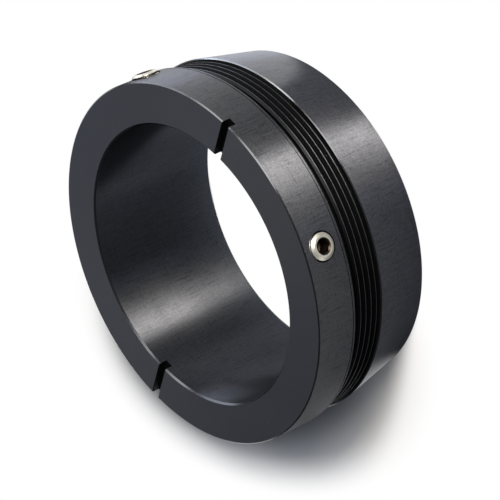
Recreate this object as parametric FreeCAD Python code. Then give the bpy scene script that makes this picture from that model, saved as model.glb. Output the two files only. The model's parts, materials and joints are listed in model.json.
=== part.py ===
"""Eyepiece adapter: a turned ring that carries an eyepiece barrel in its bore.

The ring's axis is Z. Its rear face lies on z = 0 and its nose face looks up.
From the top: a plain nose with two tapped holes for set screws, a neck, a band of fine
clamping grooves, and a collar that tapers to the rear. All lengths are in millimetres.
"""

import FreeCAD, Part
import math
import os

# Bore, which takes a 31.75 mm eyepiece barrel
bore_diameter = 31.8
bore_front_chamfer = 0.25
bore_rear_chamfer = 0.15

# Nose, the widest stretch, with a fine turned line just ahead of its shoulder
nose_wall = 4.7
nose_length = 5.2
nose_chamfer = 0.25
shoulder_rounding = 0.25
line_setback = 0.42
line_width = 0.1
line_depth = 0.05

# Neck between the nose's shoulder and the first crest
neck_length = 0.9
land_chamfer = 0.22

# Clamping grooves, V-shaped and ring-shaped, one pitch apart
crest_step = 0.55
groove_count = 3
groove_pitch = 0.75
groove_angle = 60.0
crest_width = 0.09
root_width = 0.12
end_groove_width = 0.44

# Collar, which starts below the grooves and tapers to the rear face
collar_length = 7.5
collar_step = 0.3
collar_chamfer = 0.2
collar_taper = 11.4
rear_chamfer = 0.2

# Spanner slot, cut straight across the nose face along X
slot_width = 1.0
slot_depth = 1.0

# Set screws and their holes in the nose
screw_angles = (45.0, -45.0)
screw_setback = 2.45
screw_diameter = 3.0
screw_length = 4.0
screws_proud = (0.4, 0.25)
screw_head_width = 0.35
screw_head_drop = 0.2
screw_clearance = 0.05
relief_clearance = 0.16
relief_depth = 0.4
socket_flats = 1.5
socket_depth = 1.6
socket_drill_angle = 120.0
point_diameter = 1.7
cup_diameter = 1.4
cup_angle = 120.0

# Radii and heights that follow from the sizes above
bore_radius = bore_diameter / 2
nose_radius = bore_radius + nose_wall
crest_radius = nose_radius - crest_step
flank_length = (groove_pitch - crest_width - root_width) / 2
root_radius = crest_radius - flank_length / math.tan(math.radians(groove_angle / 2))
collar_radius = nose_radius - collar_step
screw_radius = screw_diameter / 2
hole_radius = screw_radius + screw_clearance
relief_radius = screw_radius + relief_clearance

grooved_length = land_chamfer + crest_width + groove_count * groove_pitch + end_groove_width
land_top = collar_length + grooved_length
shoulder_height = land_top + neck_length
ring_length = shoulder_height + nose_length
screw_height = ring_length - screw_setback

AXIS = FreeCAD.Vector(0, 0, 1)
ORIGIN = FreeCAD.Vector(0, 0, 0)


def at(radius, height):
    """Point of a half section, in the XZ plane."""
    return FreeCAD.Vector(radius, 0, height)


def straight(points):
    """Straight edges through a row of (radius, height) points."""
    return [Part.LineSegment(at(*a), at(*b)).toShape() for a, b in zip(points, points[1:])]


def turned(edges):
    """Solid of revolution about Z from the edges of a closed half section."""
    return Part.Face(Part.Wire(edges)).revolve(ORIGIN, AXIS, 360)


def nose_outline():
    """Nose face down to the turned line and the start of the shoulder's rounding."""
    line_height = shoulder_height + line_setback
    return [
        (nose_radius - nose_chamfer, ring_length),
        (nose_radius, ring_length - nose_chamfer),
        (nose_radius, line_height + line_width / 2),
        (nose_radius - line_depth, line_height),
        (nose_radius, line_height - line_width / 2),
        (nose_radius, shoulder_height + shoulder_rounding),
    ]


def shoulder_arc():
    """Quarter-round edge between the nose's side and its shoulder."""
    centre_radius = nose_radius - shoulder_rounding
    centre_height = shoulder_height + shoulder_rounding
    reach = shoulder_rounding * math.sqrt(0.5)
    arc = Part.Arc(
        at(nose_radius, centre_height),
        at(centre_radius + reach, centre_height - reach),
        at(centre_radius, shoulder_height),
    )
    return arc.toShape()


def grooved_outline():
    """Shoulder, neck, chamfered first crest and the V grooves down to the collar."""
    points = [
        (nose_radius - shoulder_rounding, shoulder_height),
        (root_radius, shoulder_height),
        (root_radius, land_top),
        (crest_radius - land_chamfer, land_top),
        (crest_radius, land_top - land_chamfer),
    ]
    height = land_top - land_chamfer - crest_width
    for _ in range(groove_count):
        points += [
            (crest_radius, height),
            (root_radius, height - flank_length),
            (root_radius, height - flank_length - root_width),
            (crest_radius, height - 2 * flank_length - root_width),
        ]
        height -= groove_pitch
    points += [
        (crest_radius, height),
        (root_radius, height - flank_length),
        (root_radius, collar_length),
    ]
    return points


def collar_outline():
    """Collar's shoulder, its bright chamfer and the taper down to the rear face."""
    slope = math.tan(math.radians(collar_taper))
    taper_top = collar_length - collar_chamfer
    rear_radius = collar_radius - (taper_top - rear_chamfer) * slope
    return [
        (collar_radius - collar_chamfer, collar_length),
        (collar_radius, taper_top),
        (rear_radius, rear_chamfer),
        (rear_radius - rear_chamfer, 0),
    ]


def bore_outline():
    """Bore wall with its two chamfers, from the rear face up to the nose face."""
    return [
        (bore_radius + bore_rear_chamfer, 0),
        (bore_radius, bore_rear_chamfer),
        (bore_radius, ring_length - bore_front_chamfer),
        (bore_radius + bore_front_chamfer, ring_length),
    ]


def turned_blank():
    """The ring as it leaves the lathe, before the slot and the holes."""
    nose = nose_outline()
    lower = grooved_outline() + collar_outline() + bore_outline()
    edges = straight(nose) + [shoulder_arc()] + straight(lower + nose[:1])
    return turned(edges)


def spanner_slot():
    """Bar that cuts both slots at once, right across the nose face."""
    length = 2 * nose_radius + 2
    bar = Part.makeBox(length, slot_width, 2 * slot_depth)
    bar.translate(FreeCAD.Vector(-length / 2, -slot_width / 2, ring_length - slot_depth))
    return bar


def radial(shape, distance, angle):
    """Turns a shape made along +Z outward along a set screw's axis."""
    shape.rotate(ORIGIN, FreeCAD.Vector(0, 1, 0), 90)
    shape.translate(FreeCAD.Vector(distance, 0, screw_height))
    shape.rotate(ORIGIN, AXIS, angle)
    return shape


def screw_hole(angle):
    """Hole through the nose wall, with a shallow relief round the screw's head."""
    start = bore_radius - nose_wall / 2
    reach = nose_radius + nose_wall - start
    drill = Part.makeCylinder(hole_radius, reach)
    relief = Part.makeCylinder(relief_radius, reach)
    relief.translate(FreeCAD.Vector(0, 0, nose_radius - relief_depth - start))
    return radial(drill.fuse(relief), start, angle)


def adapter_ring():
    """Turned ring with its slot and its two screw holes."""
    ring = turned_blank().cut(spanner_slot())
    for angle in screw_angles:
        ring = ring.cut(screw_hole(angle))
    return ring


def hex_socket():
    """Hexagon socket with the cone that its drill leaves, sunk from the screw's head."""
    corner = socket_flats / math.sqrt(3)
    corners = [
        FreeCAD.Vector(corner * math.cos(i * math.pi / 3), corner * math.sin(i * math.pi / 3), 0)
        for i in range(7)
    ]
    prism = Part.Face(Part.makePolygon(corners)).extrude(AXIS * (2 * socket_depth))
    prism.translate(AXIS * (screw_length - socket_depth))
    drill_radius = socket_flats / 2
    drill_depth = drill_radius / math.tan(math.radians(socket_drill_angle / 2))
    cone = Part.makeCone(0, drill_radius, drill_depth)
    cone.translate(AXIS * (screw_length - socket_depth - drill_depth))
    return prism.fuse(cone)


def set_screw(angle, proud):
    """Cup-point set screw with a chamfered head, a little proud of the nose's side."""
    cup_radius = cup_diameter / 2
    cup_depth = cup_radius / math.tan(math.radians(cup_angle / 2))
    point_radius = point_diameter / 2
    outline = [
        (0, cup_depth),
        (cup_radius, 0),
        (point_radius, 0),
        (screw_radius, screw_radius - point_radius),
        (screw_radius, screw_length - screw_head_drop),
        (screw_radius - screw_head_width, screw_length),
        (0, screw_length),
        (0, cup_depth),
    ]
    screw = turned(straight(outline)).cut(hex_socket())
    return radial(screw, nose_radius + proud - screw_length, angle)


def build():
    """Every sub-part, by the name of its node."""
    nodes = {"adapter_ring": adapter_ring()}
    for number, (angle, proud) in enumerate(zip(screw_angles, screws_proud), start=1):
        nodes[f"set_screw_{number}"] = set_screw(angle, proud)
    return nodes


def export():
    os.makedirs("parts", exist_ok=True)
    for name, shape in build().items():
        shape.exportStep(f"parts/{name}.step")
        box = shape.BoundBox
        print(
            name, len(shape.Solids), "solid", round(shape.Volume, 2), "mm3, z",
            round(box.ZMin, 3), "to", round(box.ZMax, 3), "valid", shape.isValid(),
        )


export()
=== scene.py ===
import json
import math

import bpy
from mathutils import Matrix, Vector


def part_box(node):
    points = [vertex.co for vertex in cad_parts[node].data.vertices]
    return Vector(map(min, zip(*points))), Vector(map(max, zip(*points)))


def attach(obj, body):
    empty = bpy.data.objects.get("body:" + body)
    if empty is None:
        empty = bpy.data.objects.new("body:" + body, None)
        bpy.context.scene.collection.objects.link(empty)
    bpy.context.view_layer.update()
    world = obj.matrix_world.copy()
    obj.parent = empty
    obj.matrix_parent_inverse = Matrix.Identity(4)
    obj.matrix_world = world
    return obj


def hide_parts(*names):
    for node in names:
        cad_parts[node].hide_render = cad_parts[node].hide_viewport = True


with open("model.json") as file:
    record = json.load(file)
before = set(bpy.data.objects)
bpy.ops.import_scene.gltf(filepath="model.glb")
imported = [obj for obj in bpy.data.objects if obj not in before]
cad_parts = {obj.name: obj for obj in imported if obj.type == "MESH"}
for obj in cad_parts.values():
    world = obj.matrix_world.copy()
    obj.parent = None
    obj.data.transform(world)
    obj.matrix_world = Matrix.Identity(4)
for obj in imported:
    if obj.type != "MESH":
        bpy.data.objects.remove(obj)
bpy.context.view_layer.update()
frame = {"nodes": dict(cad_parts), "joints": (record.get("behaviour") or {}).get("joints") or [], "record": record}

mounts = {mount["name"]: mount for mount in frame["record"]["mounts"]}
joint_axes = {joint["child"]: Vector(joint["axis"]) for joint in frame["joints"]}
MM = 0.001

# Sizes that the frame gives
ring_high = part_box("adapter_ring")[1]
nose_radius = ring_high.x
ring_length = ring_high.z
bore_radius = mounts["eyepiece_bore"]["dims"]["r_mm"] * MM
shoulder_height = mounts["tube_seat"]["pos_m"][2]

# Turned section: the solid's, with finer chamfers on the bore's front, the nose and the collar
bore_front_chamfer = 0.18 * MM
bore_rear_chamfer = 0.15 * MM
nose_chamfer = 0.13 * MM
shoulder_rounding = 0.25 * MM
line_setback = 0.42 * MM
line_width = 0.1 * MM
line_depth = 0.05 * MM
neck_length = 0.9 * MM
land_chamfer = 0.22 * MM
crest_step = 0.55 * MM
crest_width = 0.09 * MM
root_width = 0.12 * MM
groove_pitch = 0.75 * MM
groove_count = 3
groove_angle = math.radians(60)
collar_length = 7.5 * MM
collar_step = 0.3 * MM
collar_chamfer = 0.11 * MM
collar_taper = math.radians(11.4)
rear_chamfer = 0.2 * MM
ring_segments = 360
arc_segments = 6

# Radii and heights that follow from the section
crest_radius = nose_radius - crest_step
flank_length = (groove_pitch - crest_width - root_width) / 2
root_radius = crest_radius - flank_length / math.tan(groove_angle / 2)
collar_radius = nose_radius - collar_step
land_top = shoulder_height - neck_length
rounding_radius = nose_radius - shoulder_rounding
rounding_height = shoulder_height + shoulder_rounding

# Slot and screw holes; a cutter's ends reach past the surface, or start inside the bore
slot_width = 1.0 * MM
slot_depth = 1.0 * MM
slot_edge = 0.05 * MM
screw_setback = 2.45 * MM
screw_height = ring_length - screw_setback
hole_radius = 1.55 * MM
relief_radius = 1.66 * MM
relief_depth = 0.4 * MM
hole_segments = 96
cutter_reach = 1 * MM
cutter_inset = 2 * MM

# Places of the ring's finishes in its materials
TURNED, MILLED, FACED, COLLAR, EDGE, SHADED_GROOVE, CREST, PAINTED_EDGE_HIGHLIGHT, BORE, RIM, SHADED_LAND = range(11)

# Share of a face's normal that lies along the ring's axis, where the face counts as level,
# as sloping, or as upright
level_share = 0.9
sloping_share = 0.3
upright_share = 0.1

# Distances within which a face belongs to the bore's wall, to a crest, or to a drilled hole
bore_margin = 1 * MM
crest_margin = 0.02 * MM
hole_margin = 0.1 * MM

# How far a crest's shading leans up and down at its edges, and the angle round the ring from
# which the collar's front edge is painted brighter, as a highlight on that side only
crest_lean = 0.8
painted_highlight_from = math.radians(-1)

# Set screws; the crest and the flank of the thread are shares of half a pitch, and the first four
# bands of a screw's faces line its socket
screw_radius = 1.5 * MM
thread_pitch = 0.5 * MM
thread_depth = 0.27 * MM
thread_crest = 0.12
thread_flank = 0.62
thread_end = 0.1 * MM
thread_run_out = 0.5 * MM
head_width = 0.35 * MM
head_drop = 0.2 * MM
head_reach = 1.05 * head_drop
socket_flats = 1.5 * MM
socket_depth = 1.6 * MM
socket_mouth = 0.93 * MM
drill_radius = socket_flats / 2 * 0.97
point_radius = 0.85 * MM
cup_radius = 0.7 * MM
cone_half_angle = math.radians(60)
crease_angle = math.radians(24)
screw_segments = 72
rings_per_pitch = 16
socket_bands = 4

# Places of a screw's finishes in its materials; the thread's steel is painted darker as shade, the head's lighter
# as a highlight
SHADED_THREAD, SHADED_SOCKET, LIT_HEAD = range(3)

# Grain of the anodised finishes: its contrast and mean, the range of its tones in shares of the
# reflection, the height and strength of its relief, and how much of its way along is outward
grain_contrast = 0.33
grain_mean = 1.13
grain_tones = (0.35, 1.65)
grain_height = 0.017 * MM
grain_relief = 0.32
grain_outward = 1.37

# Anodised finishes: how metallic they are, their tints, and the tone of dust on them
anodised_metallic = 0.97
cool_tint = (0.97, 0.985, 1.06)
plain_tint = (1.0, 0.985, 1.04)
chamfer_tint = (0.99, 1.0, 1.02)
dust_tone = (0.4, 0.4, 0.42, 1)

# Steel: its warm tint, the dark tones painted inside a socket as its shade, and the height of its relief
steel_tint = (1.0, 0.965, 0.85)
socket_shade_tones = (0.020, 0.015, 0.012, 1), (0.075, 0.055, 0.042, 1)
steel_height = 0.01 * MM

# Floor close to the ring, which stays matt: an oval round its shadow, and a disc in its reflections, where its
# colour is painted dark as shade
shade_centre = Vector((-22.3, 3.4, 0)) * MM
shade_size = Vector((31.7, 19.2, 1000)) * MM
shade_turn = math.radians(-47.7)
shade_reach = (0.78, 1.08)
mirror_radius = 36 * MM

# Painted shadow: the floor's colour darkened in the deepest part of the ring's shadow, a smaller oval inside the
# first, in shares of its size
painted_shadow_shift = Vector((0.12, 0, 0))
painted_shadow_reach = (0.62, 0.88)

# Painted reflections: the floor glows white, for the ring's reflections only, in a sector on one side and two
# small patches
glow_sector_direction = Vector((0.485, 0.875, 0))
glow_sector_reach = (0.84, 0.99)
glow_patches = [(Vector((-16, -13.5, 0)) * MM, 6 * MM), (Vector((20.5, 12.5, 0)) * MM, 3.5 * MM)]

# Painted reflection inside the bore: how bright the floor there glows for the ring's reflections
# only, at the axis and at the wall, and from which share of the radius it rises
bore_glow = (0.02, 0.58)
bore_glow_from = 0.4

# Tones of the floor: plain, painted shadow in the deep of the shadow, and, as the ring mirrors it, painted dark as
# shade
floor_tone = (0.918, 0.918, 0.915, 1)
painted_shadow_tone = (0.225, 0.226, 0.23, 1)
mirrored_painted_shade_tone = (0.09, 0.096, 0.12, 1)
mirrored_painted_deep_shade_tone = (0.035, 0.038, 0.047, 1)
# Blue tint of the bore's painted glow, seen only in reflections
bore_glow_tone = (0.76, 0.84, 1.0, 1)
white_tone = (1, 1, 1, 1)

# Distances in metres, from the middle of the floor to its sides and from the ring to each lamp
floor_reach = 1.5
lamp_distance = 0.6

# Colours of the lamps, and the colour and strength of the world
warm, cool, white = (1.0, 0.955, 0.89), (0.70, 0.79, 1.0), (1.0, 1.0, 1.0)
pale_blue = (0.85, 0.90, 1.0)
world_tone = (0.82, 0.88, 1, 1)
world_strength = 0.08

# Camera, set as the photograph's was: the ring is seen rolled onto its rim
lens = 217.2
sensor_width = 36.0
camera_aim = Vector((2.457, -3.123, 11.12)) * MM
camera_distance = 322.4 * MM
camera_forward = Vector((-0.68232, 0.45937, -0.56869)).normalized()
camera_up = Vector((0.70419, 0.62192, -0.34253))


def placed(name, data):
    """New object in the scene, made from a mesh, a lamp or a camera."""
    obj = bpy.data.objects.new(name, data)
    bpy.context.scene.collection.objects.link(obj)
    return obj


def piece(name, mesh, materials, body, node):
    """Places a mesh as a piece that stands for one node and rides on its body."""
    obj = placed(name, mesh)
    for material in materials:
        mesh.materials.append(material)
    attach(obj, body)
    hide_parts(node)
    return obj


def along_z(height):
    """Upright vector."""
    return Vector((0, 0, height))


# Meshes of rings of points


def turns(segments):
    return [i * 2 * math.pi / segments for i in range(segments)]


def ring_of(radii, heights):
    """Points round the axis, each with its own radius and height."""
    places = zip(radii, turns(len(radii)), heights)
    return [(radius * math.cos(turn), radius * math.sin(turn), height) for radius, turn, height in places]


def circle(radius, height, segments):
    """Level ring of points, or the one point on the axis where the radius is 0."""
    if radius == 0:
        return [(0, 0, height)]
    return ring_of([radius] * segments, [height] * segments)


def skin(name, rings, closed=False):
    """Mesh through rings of points, listed down the outside and up any inside."""
    segments = max(len(ring) for ring in rings)
    points, rows = [], []
    for ring in rings:
        rows.append([len(points) + i % len(ring) for i in range(segments)])
        points += ring
    lower_rows = rows[1:] + rows[:1] if closed else rows[1:]
    faces = []
    for upper, lower in zip(rows, lower_rows):
        for i in range(segments):
            j = (i + 1) % segments
            faces.append(list(dict.fromkeys([lower[i], lower[j], upper[j], upper[i]])))
    mesh = bpy.data.meshes.new(name)
    mesh.from_pydata(points, [], faces)
    mesh.validate()
    return mesh


def lathe(name, outline, segments, closed):
    """Mesh of revolution about Z. An open outline starts and ends on the axis."""
    return skin(name, [circle(radius, height, segments) for radius, height in outline], closed)


# Ring mesh


def shoulder_arc():
    """Quarter round from the nose's side to its shoulder."""
    points = []
    for i in range(arc_segments + 1):
        turn = i / arc_segments * math.pi / 2
        out, down = shoulder_rounding * math.cos(turn), shoulder_rounding * math.sin(turn)
        points.append((rounding_radius + out, rounding_height - down))
    return points


def ring_outline():
    """Closed half section as (radius, height), from the nose face's rim down and round."""
    line_height = shoulder_height + line_setback
    points = [
        (nose_radius - nose_chamfer, ring_length),
        (nose_radius, ring_length - nose_chamfer),
        (nose_radius, line_height + line_width / 2),
        (nose_radius - line_depth, line_height),
        (nose_radius, line_height - line_width / 2),
    ]
    points += shoulder_arc()
    points += [
        (root_radius, shoulder_height),
        (root_radius, land_top),
        (crest_radius - land_chamfer, land_top),
        (crest_radius, land_top - land_chamfer),
    ]
    height = land_top - land_chamfer - crest_width
    for _ in range(groove_count):
        points += [
            (crest_radius, height),
            (root_radius, height - flank_length),
            (root_radius, height - flank_length - root_width),
            (crest_radius, height - 2 * flank_length - root_width),
        ]
        height -= groove_pitch
    taper_top = collar_length - collar_chamfer
    rear_radius = collar_radius - (taper_top - rear_chamfer) * math.tan(collar_taper)
    points += [
        (crest_radius, height),
        (root_radius, height - flank_length),
        (root_radius, collar_length),
        (collar_radius - collar_chamfer, collar_length),
        (collar_radius, taper_top),
        (rear_radius, rear_chamfer),
        (rear_radius - rear_chamfer, 0),
        (bore_radius + bore_rear_chamfer, 0),
        (bore_radius, bore_rear_chamfer),
        (bore_radius, ring_length - bore_front_chamfer),
        (bore_radius + bore_front_chamfer, ring_length),
    ]
    return points


def slot_cutter():
    """Bar along X whose section flares a little at the top, to break the slot's edges."""
    half = slot_width / 2
    floor = ring_length - slot_depth
    flare = half + 2 * slot_edge
    bottom, top = ring_length - slot_edge, ring_length + slot_edge
    section = [(-half, floor), (half, floor), (half, bottom), (flare, top), (-flare, top), (-half, bottom)]
    reach = nose_radius + cutter_reach
    points = [(x, y, z) for x in (-reach, reach) for y, z in section]
    count = len(section)
    faces = [list(range(count))[::-1], list(range(count, 2 * count))]
    faces += [[i, (i + 1) % count, count + (i + 1) % count, count + i] for i in range(count)]
    mesh = bpy.data.meshes.new("slot_cutter")
    mesh.from_pydata(points, [], faces)
    return mesh


def radial_matrix(axis, distance):
    """Turns a shape made along +Z onto a screw's axis, at a distance from the ring's."""
    x = along_z(1)
    turn = Matrix((x, axis.cross(x), axis)).transposed().to_4x4()
    return Matrix.Translation(axis * distance + along_z(screw_height)) @ turn


def hole_cutter(axis):
    """One screw hole, with the relief round the screw's head."""
    start = bore_radius - cutter_inset
    reach = nose_radius - start
    top = reach + cutter_reach
    outline = [
        (0, top), (relief_radius, top), (relief_radius, reach - relief_depth),
        (hole_radius, reach - relief_depth), (hole_radius, 0), (0, 0),
    ]
    mesh = lathe("hole_cutter", outline, hole_segments, closed=False)
    mesh.transform(radial_matrix(axis, start))
    return mesh


def cut(obj, cutter_mesh):
    """Subtracts a closed mesh from obj; the cut faces take the milled finish."""
    for material in obj.data.materials:
        cutter_mesh.materials.append(material)
    for face in cutter_mesh.polygons:
        face.material_index = MILLED
    cutter = placed("cutter", cutter_mesh)
    modifier = obj.modifiers.new("cut", "BOOLEAN")
    modifier.operation = "DIFFERENCE"
    modifier.solver = "EXACT"
    modifier.material_mode = "INDEX"
    modifier.object = cutter
    graph = bpy.context.evaluated_depsgraph_get()
    mesh = bpy.data.meshes.new_from_object(obj.evaluated_get(graph))
    obj.modifiers.remove(modifier)
    obj.data = mesh
    bpy.data.objects.remove(cutter)


def zone(face):
    """Which of the ring's finishes a turned face has."""
    radius, height, steep = face.center.xy.length, face.center.z, abs(face.normal.z)
    in_bore = radius < bore_radius + bore_margin
    if steep > level_share and not 0 < height < ring_length:
        return FACED
    if steep > sloping_share and height > ring_length - bore_front_chamfer:
        return EDGE if in_bore else RIM
    if in_bore:
        return BORE
    if height > shoulder_height:
        # The turned line takes a near-black finish: painted shade
        in_line = abs(height - shoulder_height - line_setback) < line_width / 2
        return SHADED_GROOVE if in_line else TURNED
    # The collar's front edge is painted brighter on one side, as a highlight
    if collar_length - collar_chamfer < height < collar_length:
        return PAINTED_EDGE_HIGHLIGHT if math.atan2(face.center.y, face.center.x) > painted_highlight_from else RIM
    if height < collar_length:
        return COLLAR
    # The land under the shoulder is painted near black as shade
    if land_top - land_chamfer < height < land_top and radius > crest_radius - land_chamfer:
        return SHADED_LAND
    # Flanks and roots are painted near black as shade; crests keep their own finish
    return CREST if steep < upright_share and radius > crest_radius - crest_margin else SHADED_GROOVE


def mark_zones(mesh):
    """Gives the turned faces their finishes; the cut faces keep theirs."""
    for face in mesh.polygons:
        face.use_smooth = True
        if face.material_index != MILLED:
            face.material_index = zone(face)


def drilled_axis(face, axes):
    """Axis of the screw hole that a milled face belongs to, or None for any other face."""
    point = face.center - along_z(screw_height)
    for axis in axes:
        along = point.dot(axis)
        near = (point - axis * along).length < relief_radius + hole_margin
        if face.material_index == MILLED and along > 0 and near:
            return axis
    return None


def turned_slope(face, p):
    """Outward and upward share of the true turned surface's normal at one corner of a face."""
    middle = Vector((face.center.x, face.center.y, 0))
    height = face.center.z
    if middle.length > rounding_radius and shoulder_height < height < rounding_height:
        return p.xy.length - rounding_radius, p.z - rounding_height
    if face.material_index == CREST:
        return 1.0, crest_lean if p.z > height else -crest_lean
    return face.normal.dot(middle.normalized()), face.normal.z


def true_normal(face, p, drilled):
    """Normal of the true turned or drilled surface at one corner of a face."""
    if drilled is not None:
        point = p - along_z(screw_height)
        side = (point - drilled * point.dot(drilled)).normalized()
        along = face.normal.dot(drilled)
        return drilled * along - side * math.sqrt(max(0, 1 - along ** 2))
    if face.material_index == MILLED:
        return face.normal
    outward, upward = turned_slope(face, p)
    return Vector((p.x, p.y, 0)).normalized() * outward + along_z(upward)


def set_normals(mesh, axes):
    """Gives every face corner its true normal, so that the facets don't show."""
    normals = [None] * len(mesh.loops)
    for face in mesh.polygons:
        drilled = drilled_axis(face, axes)
        for loop in face.loop_indices:
            p = mesh.vertices[mesh.loops[loop].vertex_index].co
            normals[loop] = true_normal(face, p, drilled).normalized()
    mesh.normals_split_custom_set(normals)


def build_ring(materials, axes):
    """The turned ring, with its slot and its screw holes cut."""
    mesh = lathe("adapter_ring_turned", ring_outline(), ring_segments, closed=True)
    obj = piece("turned_ring", mesh, materials, "ring", "adapter_ring")
    cut(obj, slot_cutter())
    for axis in axes:
        cut(obj, hole_cutter(axis))
    mark_zones(obj.data)
    set_normals(obj.data, axes)


# Set screw meshes


def within(share):
    return min(1, max(0, share))


def hex_radius(turn):
    """Distance from the socket's centre to its hexagon at one angle."""
    sector = math.pi / 3
    return socket_flats / 2 / math.cos((turn % sector) - sector / 2)


def thread_radius(turn, height, length):
    """Distance from a screw's axis to its side: point cone, thread and chamfered head."""
    phase = (height / thread_pitch - turn / (2 * math.pi)) % 1
    share = within((abs(2 * phase - 1) - thread_crest) / thread_flank)
    run_out = within((length - height - thread_end) / thread_run_out)
    thread = screw_radius - thread_depth * share * run_out
    above = max(0, height - (length - head_drop))
    chamfer = screw_radius - above * head_width / head_drop
    return min(point_radius + height, chamfer, thread)


def screw_rings(length):
    """Rings of points from the cup's centre up the side and down to the socket's centre."""
    count = screw_segments
    rings = [circle(0, cup_radius / math.tan(cone_half_angle), count)]
    rings += [circle(radius, 0, count) for radius in (cup_radius, point_radius)]
    steps = int(length / thread_pitch * rings_per_pitch)
    for k in range(1, steps):
        height = length * k / steps
        radii = [thread_radius(turn, height, length) for turn in turns(count)]
        rings.append(ring_of(radii, [height] * count))
    rings += [circle(radius, length, count) for radius in (screw_radius - head_width, socket_mouth)]
    walls = [hex_radius(turn) for turn in turns(count)]
    socket_floor = length - socket_depth
    drill_depth = socket_flats / 2 / math.tan(cone_half_angle)
    rings.append(ring_of(walls, [length - (socket_mouth - wall) for wall in walls]))
    rings.append(ring_of(walls, [socket_floor] * count))
    rings.append(circle(drill_radius, socket_floor, count))
    rings.append(circle(0, socket_floor - drill_depth, count))
    return rings


def build_screw(number, axis, body, materials):
    """A threaded set screw that fills its node from tip to head."""
    node = f"set_screw_{number}"
    reach = [v.co.dot(axis) for v in frame["nodes"][node].data.vertices]
    tip, head = min(reach), max(reach)
    mesh = skin(f"{node}_threaded", screw_rings(head - tip)[::-1])
    mesh.transform(radial_matrix(axis, tip))
    piece(f"threaded_screw_{number}", mesh, materials, body, node)
    for face in mesh.polygons:
        face.use_smooth = True
        # The socket's faces are painted dark as its shade
        if face.index < socket_bands * screw_segments:
            face.material_index = SHADED_SOCKET
        # The head is painted lighter as a highlight, the thread darker as shade
        elif face.center.dot(axis) > head - head_reach:
            face.material_index = LIT_HEAD
        else:
            face.material_index = SHADED_THREAD
    mesh.set_sharp_from_angle(angle=crease_angle)


# Materials


class Nodes:
    """Small helper that adds shader nodes and links them in one call."""

    def __init__(self, name):
        self.material = bpy.data.materials.new(name)
        self.material.use_nodes = True
        self.tree = self.material.node_tree
        self.tree.nodes.clear()
        self.place = self.add("ShaderNodeTexCoord").outputs["Object"]

    def feed(self, socket, value):
        """Links a socket to another, or sets its value."""
        if isinstance(value, bpy.types.NodeSocket):
            self.tree.links.new(value, socket)
        else:
            socket.default_value = value

    def add(self, kind, inputs=None, **settings):
        node = self.tree.nodes.new(kind)
        for key, value in settings.items():
            setattr(node, key, value)
        for key, value in (inputs or {}).items():
            self.feed(node.inputs[key], value)
        return node

    def math(self, operation, a, b=0.0, c=0.0):
        return self.add("ShaderNodeMath", {0: a, 1: b, 2: c}, operation=operation).outputs[0]

    def vector(self, operation, *operands):
        """Outputs of a vector sum or measure, named Vector and Value."""
        inputs = dict(enumerate(operands))
        return self.add("ShaderNodeVectorMath", inputs, operation=operation).outputs

    def noise(self, vector, scale, detail, roughness):
        inputs = {"Vector": vector, "Scale": scale, "Detail": detail, "Roughness": roughness}
        return self.add("ShaderNodeTexNoise", inputs).outputs["Fac"]

    def peaks(self, value, low, high):
        """Nothing up to the low value, all from the high one, and a ramp between."""
        node = self.add("ShaderNodeValToRGB", {0: value})
        elements = node.color_ramp.elements
        for _ in range(2):
            elements.new(0.5)
        for element, place, grey in zip(elements, (0, low, high, 1), (0, 0, 1, 1)):
            element.position = place
            element.color = (grey, grey, grey, 1)
        return node.outputs[0]

    def weighted(self, start, *terms):
        """A start value plus each pattern times its weight."""
        for pattern, weight in terms:
            start = self.math("MULTIPLY_ADD", pattern, weight, start)
        return start

    def mix(self, factor, a, b):
        node = self.add("ShaderNodeMix", data_type="RGBA")
        factor_socket, a_socket, b_socket = (node.inputs[i] for i in (0, 6, 7))
        for socket, value in ((factor_socket, factor), (a_socket, a), (b_socket, b)):
            self.feed(socket, value)
        return node.outputs[2]

    def finish(self, shader):
        self.add("ShaderNodeOutputMaterial", {"Surface": shader})
        return self.material

    def metal(self, tone, roughness, metallic, relief, strength, distance, extra=None):
        """The finished material, as a metal with a fine relief."""
        bump = self.add("ShaderNodeBump", {
            "Height": relief, "Strength": strength, "Distance": distance,
        }).outputs[0]
        return self.finish(self.add("ShaderNodeBsdfPrincipled", {
            "Base Color": tone, "Roughness": roughness, "Metallic": metallic, "Normal": bump,
            **(extra or {}),
        }).outputs[0])


def turned_coordinates(nodes):
    """Way round a turned part and way along it, in mm. On level faces the second runs outward."""
    x, y, z = nodes.add("ShaderNodeSeparateXYZ", {0: nodes.place}).outputs
    angle = nodes.math("ARCTAN2", y, x)
    squares = nodes.math("ADD", nodes.math("MULTIPLY", x, x), nodes.math("MULTIPLY", y, y))
    along = nodes.math("MULTIPLY_ADD", nodes.math("SQRT", squares), grain_outward, z)
    return nodes.math("MULTIPLY", angle, nose_radius / MM), nodes.math("MULTIPLY", along, 1 / MM)


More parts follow.
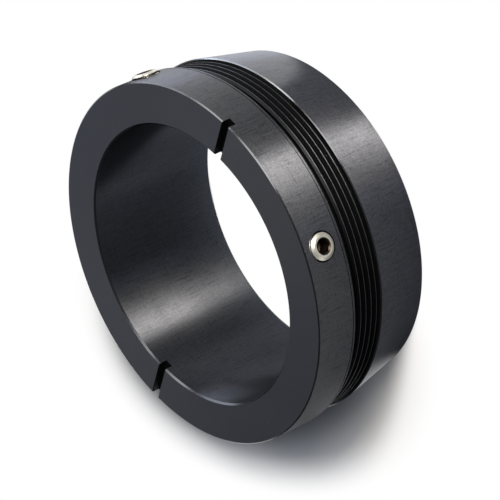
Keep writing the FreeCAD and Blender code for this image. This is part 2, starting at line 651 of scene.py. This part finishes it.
def anodised(name, reflection, roughness, anisotropy, marks, tint=cool_tint):
    """Black anodised aluminium, brushed along the axis over fine turning marks round it.

    Marks is how strongly the brushing, the hair marks and the specks show.
    """
    nodes = Nodes(name)
    around, along = turned_coordinates(nodes)

    def stretched(share_around, share_along, scale, detail, roughness):
        vector = nodes.add("ShaderNodeCombineXYZ", {
            0: nodes.math("MULTIPLY", around, share_around),
            1: nodes.math("MULTIPLY", along, share_along),
        }).outputs[0]
        return nodes.noise(vector, scale, detail, roughness)

    def even(scale, detail, roughness):
        return nodes.math("SUBTRACT", nodes.noise(nodes.place, scale, detail, roughness), 0.5)

    brushed = stretched(1.0, 0.035, 6.5, 2.0, 0.6)
    fine = stretched(1.0, 0.06, 12.0, 2.0, 0.6)
    turning = stretched(0.02, 1.0, 5.0, 3.0, 0.7)
    dashes = nodes.peaks(stretched(1.0, 0.09, 4.4, 1.0, 0.5), 0.60, 0.66)
    nicks = nodes.peaks(stretched(0.10, 1.0, 4.0, 1.0, 0.5), 0.63, 0.69)
    hairs = nodes.math("MAXIMUM", dashes, nicks)
    cloud = even(140.0, 4.0, 0.6)
    speckle = even(5000.0, 1.0, 0.5)
    dust = nodes.peaks(nodes.noise(nodes.place, 2600.0, 2.0, 0.5), 0.74, 0.80)

    grain = nodes.weighted(
        -grain_mean, (brushed, 1.3), (fine, 0.5), (turning, 0.5),
        (hairs, -0.5), (cloud, 0.35), (speckle, 1.8),
    )
    grain = nodes.math("MULTIPLY_ADD", grain, grain_contrast * marks, 0.5)
    dark, light = ((*(share * reflection * part for part in tint), 1) for share in grain_tones)
    tone = nodes.mix(grain, dark, light)
    tone = nodes.mix(nodes.math("MULTIPLY", dust, 0.5), tone, dust_tone)
    rough = nodes.weighted(roughness, (cloud, 0.08), (hairs, -0.02 * marks), (speckle, 0.04 * marks))
    relief = nodes.weighted(brushed, (turning, 0.4), (dashes, -0.25), (nicks, -0.25))
    tangent = nodes.add("ShaderNodeTangent", direction_type="RADIAL", axis="Z").outputs[0]
    return nodes.metal(tone, rough, anodised_metallic, relief, grain_relief * marks, grain_height, {
        "Anisotropic": anisotropy, "Anisotropic Rotation": 0.25, "Tangent": tangent,
    })


def stainless(name, dark, light, metallic):
    """Stainless steel, faintly warm, with fine machining marks."""
    nodes = Nodes(name)
    cloud = nodes.noise(nodes.place, 900.0, 4.0, 0.6)
    fine = nodes.noise(nodes.place, 9000.0, 2.0, 0.5)
    tone = nodes.mix(cloud, *((*(share * part for part in steel_tint), 1) for share in (dark, light)))
    rough = nodes.weighted(0.26, (fine, 0.14))
    return nodes.metal(tone, rough, metallic, fine, 0.12, steel_height)


def socket_painted_shade(name):
    """Steel deep in a broached socket, painted dark as the shade inside it, with a faint brown tint."""
    nodes = Nodes(name)
    cloud = nodes.noise(nodes.place, 1500.0, 4.0, 0.6)
    rough = nodes.weighted(0.3, (cloud, 0.3))
    return nodes.metal(nodes.mix(cloud, *socket_shade_tones), rough, 1.0, cloud, 0.2, steel_height)


def floor_white(name):
    """Pale matt floor, shown full white inside the bore and away from the ring's shadow.

    The ring mirrors it white beyond a disc. For reflections only, it glows as painted reflections on a
    sector, two patches and, with a soft fall, inside the bore; near the ring its colour is painted dark as shade.
    """
    nodes = Nodes(name)
    rays = nodes.add("ShaderNodeLightPath").outputs
    mirrored = nodes.math("ADD", rays["Is Glossy Ray"], rays["Is Transmission Ray"])

    def rising(value, low, high):
        return nodes.add("ShaderNodeMapRange", {
            "Value": value, "From Min": low, "From Max": high,
        }, interpolation_type="SMOOTHSTEP").outputs[0]

    def beyond(centre, radius):
        return rising(nodes.vector("DISTANCE", nodes.place, centre)["Value"], radius, 2 * radius)

    def flipped(value):
        return nodes.math("SUBTRACT", 1.0, value)

    from_axis = nodes.vector("LENGTH", nodes.place)["Value"]
    inside = nodes.math("LESS_THAN", from_axis, bore_radius)

    # Ovals of the shadow, and the painted shadow darker inside it
    oval = nodes.add("ShaderNodeMapping", {
        "Vector": nodes.place, "Location": shade_centre, "Rotation": (0, 0, shade_turn),
        "Scale": shade_size,
    }, vector_type="TEXTURE").outputs[0]
    clear = rising(nodes.vector("LENGTH", oval)["Value"], *shade_reach)
    shifted = nodes.vector("ADD", oval, painted_shadow_shift)["Vector"]
    outside_painted_shadow = rising(nodes.vector("LENGTH", shifted)["Value"], *painted_shadow_reach)

    # Glowing sector and patches, as painted reflections, and all that the ring mirrors white
    direction = nodes.vector("NORMALIZE", nodes.place)["Vector"]
    reflected_glow = rising(nodes.vector("DOT_PRODUCT", direction, glow_sector_direction)["Value"], *glow_sector_reach)
    for centre, radius in glow_patches:
        reflected_glow = nodes.math("MAXIMUM", reflected_glow, flipped(beyond(centre, radius)))
    reflected_glow = nodes.math("MULTIPLY", reflected_glow, flipped(inside))
    # Painted reflection: the floor inside the bore glows for reflections, rising towards the wall
    glow = nodes.add("ShaderNodeMapRange", {
        "Value": from_axis, "From Min": bore_glow_from * bore_radius, "From Max": bore_radius,
        "To Min": bore_glow[0], "To Max": bore_glow[1],
    }).outputs[0]
    bright = nodes.math("MAXIMUM", beyond(Vector(), mirror_radius), reflected_glow)
    bright = nodes.math("MAXIMUM", bright, nodes.math("MULTIPLY", inside, glow))

    # Share of white for the camera and for reflections
    share = nodes.math("MULTIPLY", bright, mirrored)
    direct = nodes.math("MAXIMUM", clear, inside)
    share = nodes.math("MULTIPLY_ADD", direct, rays["Is Camera Ray"], share)
    share = nodes.math("MINIMUM", share, 1.0)

    # In reflections the floor near the ring is painted dark as shade, darker still in the oval
    close = nodes.mix(clear, mirrored_painted_deep_shade_tone, mirrored_painted_shade_tone)
    # Painted shadow: the floor's colour darkens in the deep oval
    tone = nodes.mix(outside_painted_shadow, painted_shadow_tone, floor_tone)
    tone = nodes.mix(nodes.math("MULTIPLY", flipped(bright), mirrored), tone, close)
    matt = nodes.add("ShaderNodeBsdfDiffuse", {"Color": tone}).outputs[0]
    # White for the camera; blue for the bore's painted glow in reflections
    shine = nodes.mix(nodes.math("MULTIPLY", inside, mirrored), white_tone, bore_glow_tone)
    glowing = nodes.add("ShaderNodeEmission", {"Color": shine, "Strength": 1.0}).outputs[0]
    return nodes.finish(nodes.add("ShaderNodeMixShader", {0: share, 1: matt, 2: glowing}).outputs[0])


# Stage, lights and camera


def build_floor():
    corners = [(-1, -1), (1, -1), (1, 1), (-1, 1)]
    mesh = bpy.data.meshes.new("floor")
    mesh.from_pydata([(x * floor_reach, y * floor_reach, 0) for x, y in corners], [], [[0, 1, 2, 3]])
    mesh.materials.append(floor_white("floor_white"))
    floor = placed("floor", mesh)


def lamp(name, azimuth, elevation, across, up, brightness, colour):
    """Soft rectangular lamp that faces the ring; its place and its spread are in degrees."""
    a, e = math.radians(azimuth), math.radians(elevation)
    out = Vector((math.cos(a) * math.cos(e), math.sin(a) * math.cos(e), math.sin(e)))
    width, height = (2 * lamp_distance * math.tan(math.radians(angle / 2)) for angle in (across, up))
    light = bpy.data.lights.new(name, "AREA")
    light.shape = "RECTANGLE"
    light.size = width * math.cos(e)
    light.size_y = height
    light.energy = brightness * math.pi * light.size * light.size_y
    light.color = colour
    obj = placed(name, light)
    obj.location = out * lamp_distance + along_z(ring_length / 2)
    obj.rotation_mode = "QUATERNION"
    obj.rotation_quaternion = out.to_track_quat("Z", "Y")
    obj.visible_camera = False


def build_lights():
    """Lamps, each with its azimuth, elevation, spread across and up, brightness and colour."""
    lamp("key", -3, 26, 10, 28, 42, warm)
    lamp("key_fall", -12, 26, 8, 30, 23, warm)
    lamp("key_side", -20, 26, 10, 34, 9, warm)
    lamp("key_end", -30, 25, 12, 34, 2.5, warm)
    lamp("key_edge", -42, 25, 12, 34, 1.2, cool)
    lamp("rim", 51, 38, 30, 14, 4, white)
    lamp("side", 80, 6, 20, 12, 11, cool)
    lamp("side_high", 82, 19, 42, 22, 2.6, pale_blue)
    lamp("top", 10, 50, 40, 10, 4.8, white)
    lamp("back", 130, 17, 40, 15, 1.3, cool)
    world = bpy.data.worlds.new("studio")
    world.use_nodes = True
    background = world.node_tree.nodes["Background"].inputs
    background["Color"].default_value = world_tone
    background["Strength"].default_value = world_strength
    bpy.context.scene.world = world


def build_camera():
    data = bpy.data.cameras.new("camera")
    data.lens = lens
    data.sensor_width = sensor_width
    data.clip_start = 0.01
    data.clip_end = 10
    camera = placed("camera", data)
    back = -camera_forward
    right = camera_up.cross(back).normalized()
    turn = Matrix((right, back.cross(right), back)).transposed().to_4x4()
    camera.matrix_world = Matrix.Translation(camera_aim + back * camera_distance) @ turn
    bpy.context.scene.camera = camera


# Reflection, roughness, anisotropy and marks of each finish, in the order of their places
ring_finishes = [
    anodised("anodised_turned", 0.128, 0.345, 1.0, 1.0),
    anodised("anodised_milled", 0.02, 0.5, 0.0, 0.5),
    anodised("anodised_faced", 0.15, 0.45, 0.3, 0.15, plain_tint),
    anodised("anodised_collar", 0.215, 0.33, 1.0, 1.0),
    anodised("anodised_edge", 0.09, 0.2, 0.0, 0.2),
    # Near black: painted shade in the grooves and the turned line
    anodised("anodised_painted_groove_shade", 0.008, 0.5, 0.0, 0.5),
    anodised("anodised_crest", 0.09, 0.4, 0.0, 1.0),
    # Painted highlight: the brighter side of the collar's front edge
    anodised("anodised_painted_edge_highlight", 0.2, 0.2, 0.0, 0.3, chamfer_tint),
    anodised("anodised_bore", 0.108, 0.35, 1.0, 0.85),
    anodised("anodised_rim", 0.10, 0.16, 0.0, 0.2, chamfer_tint),
    # Near black: painted shade on the land under the shoulder
    anodised("anodised_painted_land_shade", 0.014, 0.35, 0.0, 0.3),
]
screw_finishes = [
    # The thread's steel is a darker copy: painted shade
    stainless("steel_painted_thread_shade", 0.22, 0.46, 1.0),
    # Painted shade deep in the socket
    socket_painted_shade("socket_painted_shade"),
    # The head's steel is a lighter copy: painted highlight on its ring
    stainless("steel_painted_head_highlight", 0.42, 0.78, 0.8),
]

screw_bodies = sorted(joint_axes)
build_ring(ring_finishes, [joint_axes[body] for body in screw_bodies])
for number, body in enumerate(screw_bodies, start=1):
    build_screw(number, joint_axes[body], body, screw_finishes)
build_floor()
build_lights()
build_camera()
bpy.context.scene.view_settings.view_transform = "Standard"
